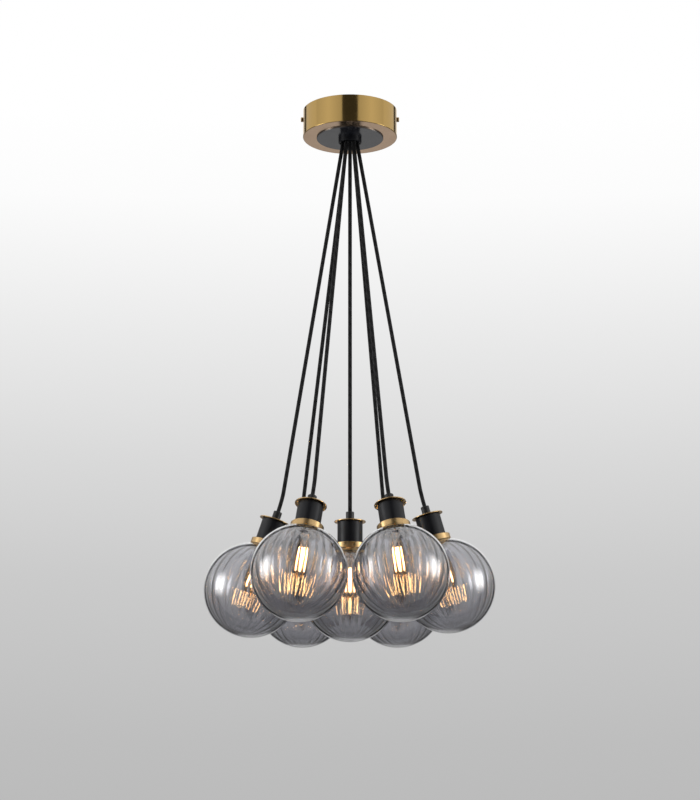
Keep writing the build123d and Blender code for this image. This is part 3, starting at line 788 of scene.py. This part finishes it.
# ---------------------------------------------------------------- Room and light
# A pale studio: a backdrop from white above to light grey below, a floor far down, and a softbox at
# each side. Glass and metal also see white panels with a gap where the camera stands, a dark border
# round the backdrop, and less light from below. Reflections see a small grey card as well.
floor_level, floor_reach = -6.0, 400.0
floor_paint, tree, shader = new_material("pale floor", (0.7, 0.7, 0.7), 0.8)
signs = ((-1, -1), (1, -1), (1, 1), (-1, 1))
corners = [(x * floor_reach, y * floor_reach, floor_level) for x, y in signs]
floor = add_mesh("floor", corners, [(0, 1, 2, 3)], floor_paint, False)
floor.visible_glossy = False
floor.visible_transmission = False

world = bpy.data.worlds.new("studio")
bpy.context.scene.world = world
world.use_nodes = True
tree = world.node_tree
tree.nodes.clear()


def ramp(value, stops, blend="LINEAR"):
    """Grey levels over a value, from stops of place and level."""
    node = tree.nodes.new("ShaderNodeValToRGB")
    node.color_ramp.interpolation = blend
    while len(node.color_ramp.elements) < len(stops):
        node.color_ramp.elements.new(0.5)
    for element, (place, level) in zip(node.color_ramp.elements, stops):
        element.position = place
        element.color = (level, level, level, 1)
    tree.links.new(value, node.inputs[0])
    return node.outputs[0]


def multiplied(first, second):
    """The product of two colours."""
    node = tree.nodes.new("ShaderNodeMix")
    node.data_type = "RGBA"
    node.blend_type = "MULTIPLY"
    node.inputs["Factor"].default_value = 1.0
    tree.links.new(first, node.inputs["A"])
    tree.links.new(second, node.inputs["B"])
    return node.outputs["Result"]


calc = math_in(tree)
direction = tree.nodes.new("ShaderNodeTexCoord").outputs["Generated"]
split = tree.nodes.new("ShaderNodeSeparateXYZ")
tree.links.new(direction, split.inputs[0])
x, y, z = split.outputs
backdrop_stops = [(0.0, 0.45), (0.106, 0.515), (0.174, 0.597), (0.221, 0.694)]
backdrop_stops += [(0.247, 0.76), (0.273, 0.823), (0.328, 0.973), (0.36, 1.0)]
backdrop = ramp(z, backdrop_stops)

# The panels, by the angle from the camera's side.
gap_stops = [(0.0, 0.05), (0.104, 0.05), (0.110, 0.62), (0.3, 0.88), (0.48, 0.7), (0.62, 0.35)]
from_camera = calc("ABSOLUTE", calc("ARCTAN2", x, calc("MULTIPLY", y, -1.0)))
panels = ramp(calc("DIVIDE", from_camera, pi), gap_stops)

# The dark border, by the angle from the line of view, and the light that fails from below.
view_tilt = radians(14.3)
ahead = calc("ADD", calc("MULTIPLY", y, cos(view_tilt)), calc("MULTIPLY", z, sin(view_tilt)))
border_stops = [(0.0, 1.0), (0.28, 1.0), (0.33, 0.05), (0.44, 0.05), (0.5, 0.8)]
border = ramp(calc("DIVIDE", calc("ARCCOSINE", ahead), pi / 2), border_stops)
height = calc("MULTIPLY_ADD", z, 0.5, 0.5)
below = ramp(height, [(0.0, 0.3), (0.2, 0.38), (0.42, 0.66), (0.52, 1.0)])
behind = calc("GREATER_THAN", y, 0.0)
refracted = multiplied(blended(tree, behind, panels, multiplied(backdrop, border)), below)

# The card.
card_direction, card_level = (0, 0.93, -0.37), 0.42
from_card = tree.nodes.new("ShaderNodeVectorMath")
from_card.operation = "DISTANCE"
from_card.inputs[1].default_value = card_direction
tree.links.new(direction, from_card.inputs[0])
card = ramp(from_card.outputs["Value"], [(0.0, 1.0), (0.1, 1.0), (0.24, 0.0)], "EASE")
mirrored = blended(tree, card, refracted, card_level)

# What each kind of ray sees. Plain surfaces get an even light.
even_light = 0.6
path = tree.nodes.new("ShaderNodeLightPath").outputs
studio = blended(tree, path["Is Transmission Ray"], even_light, refracted)
studio = blended(tree, path["Is Glossy Ray"], studio, mirrored)
studio = blended(tree, path["Is Camera Ray"], studio, backdrop)
light = tree.nodes.new("ShaderNodeBackground")
tree.links.new(studio, light.inputs["Color"])
output = tree.nodes.new("ShaderNodeOutputWorld")
tree.links.new(light.outputs[0], output.inputs["Surface"])


def softbox(name, place, aim, width, height, watts):
    """A softbox that is brightest in its middle and fades out towards its edges."""
    lamp = bpy.data.lights.new(name, "AREA")
    lamp.shape = "RECTANGLE"
    lamp.size, lamp.size_y = width, height
    lamp.energy = watts
    lamp.use_nodes = True
    tree = lamp.node_tree
    spot = tree.nodes.new("ShaderNodeVectorMath")
    spot.operation = "DISTANCE"
    spot.inputs[1].default_value = (0.5, 0.5, 0)  # the middle of its face
    tree.links.new(tree.nodes.new("ShaderNodeNewGeometry").outputs["Parametric"], spot.inputs[0])
    fade = tree.nodes.new("ShaderNodeMapRange")
    fade.interpolation_type = "SMOOTHERSTEP"
    fade.inputs["From Min"].default_value = 0.5
    fade.inputs["From Max"].default_value = 0.0
    fade.inputs["To Max"].default_value = 1.0
    tree.links.new(spot.outputs["Value"], fade.inputs["Value"])
    strength = math_in(tree)("POWER", fade.outputs["Result"], 2.0)
    tree.links.new(strength, tree.nodes["Emission"].inputs["Strength"])
    box = bpy.data.objects.new(name, lamp)
    box.location = place
    box.rotation_euler = (Vector(aim) - Vector(place)).to_track_quat("-Z", "Y").to_euler()
    bpy.context.scene.collection.objects.link(box)
    return box


softbox_aim, softbox_width, softbox_height, softbox_watts = (0, 0, -0.75), 1.7, 2.1, 50
for side, sign in (("left", -1), ("right", 1)):
    box = softbox(
        f"softbox_{side}",
        place=(sign * 1.6, -0.35, -0.55),
        aim=softbox_aim,
        width=softbox_width,
        height=softbox_height,
        watts=softbox_watts,
    )
    box.visible_camera = False

bpy.context.scene.view_settings.view_transform = "Standard"
cycles = bpy.context.scene.cycles
cycles.max_bounces = 24
cycles.transmission_bounces = 24
cycles.transparent_max_bounces = 24
cycles.glossy_bounces = 8
cycles.diffuse_bounces = 3
cycles.use_denoising = True
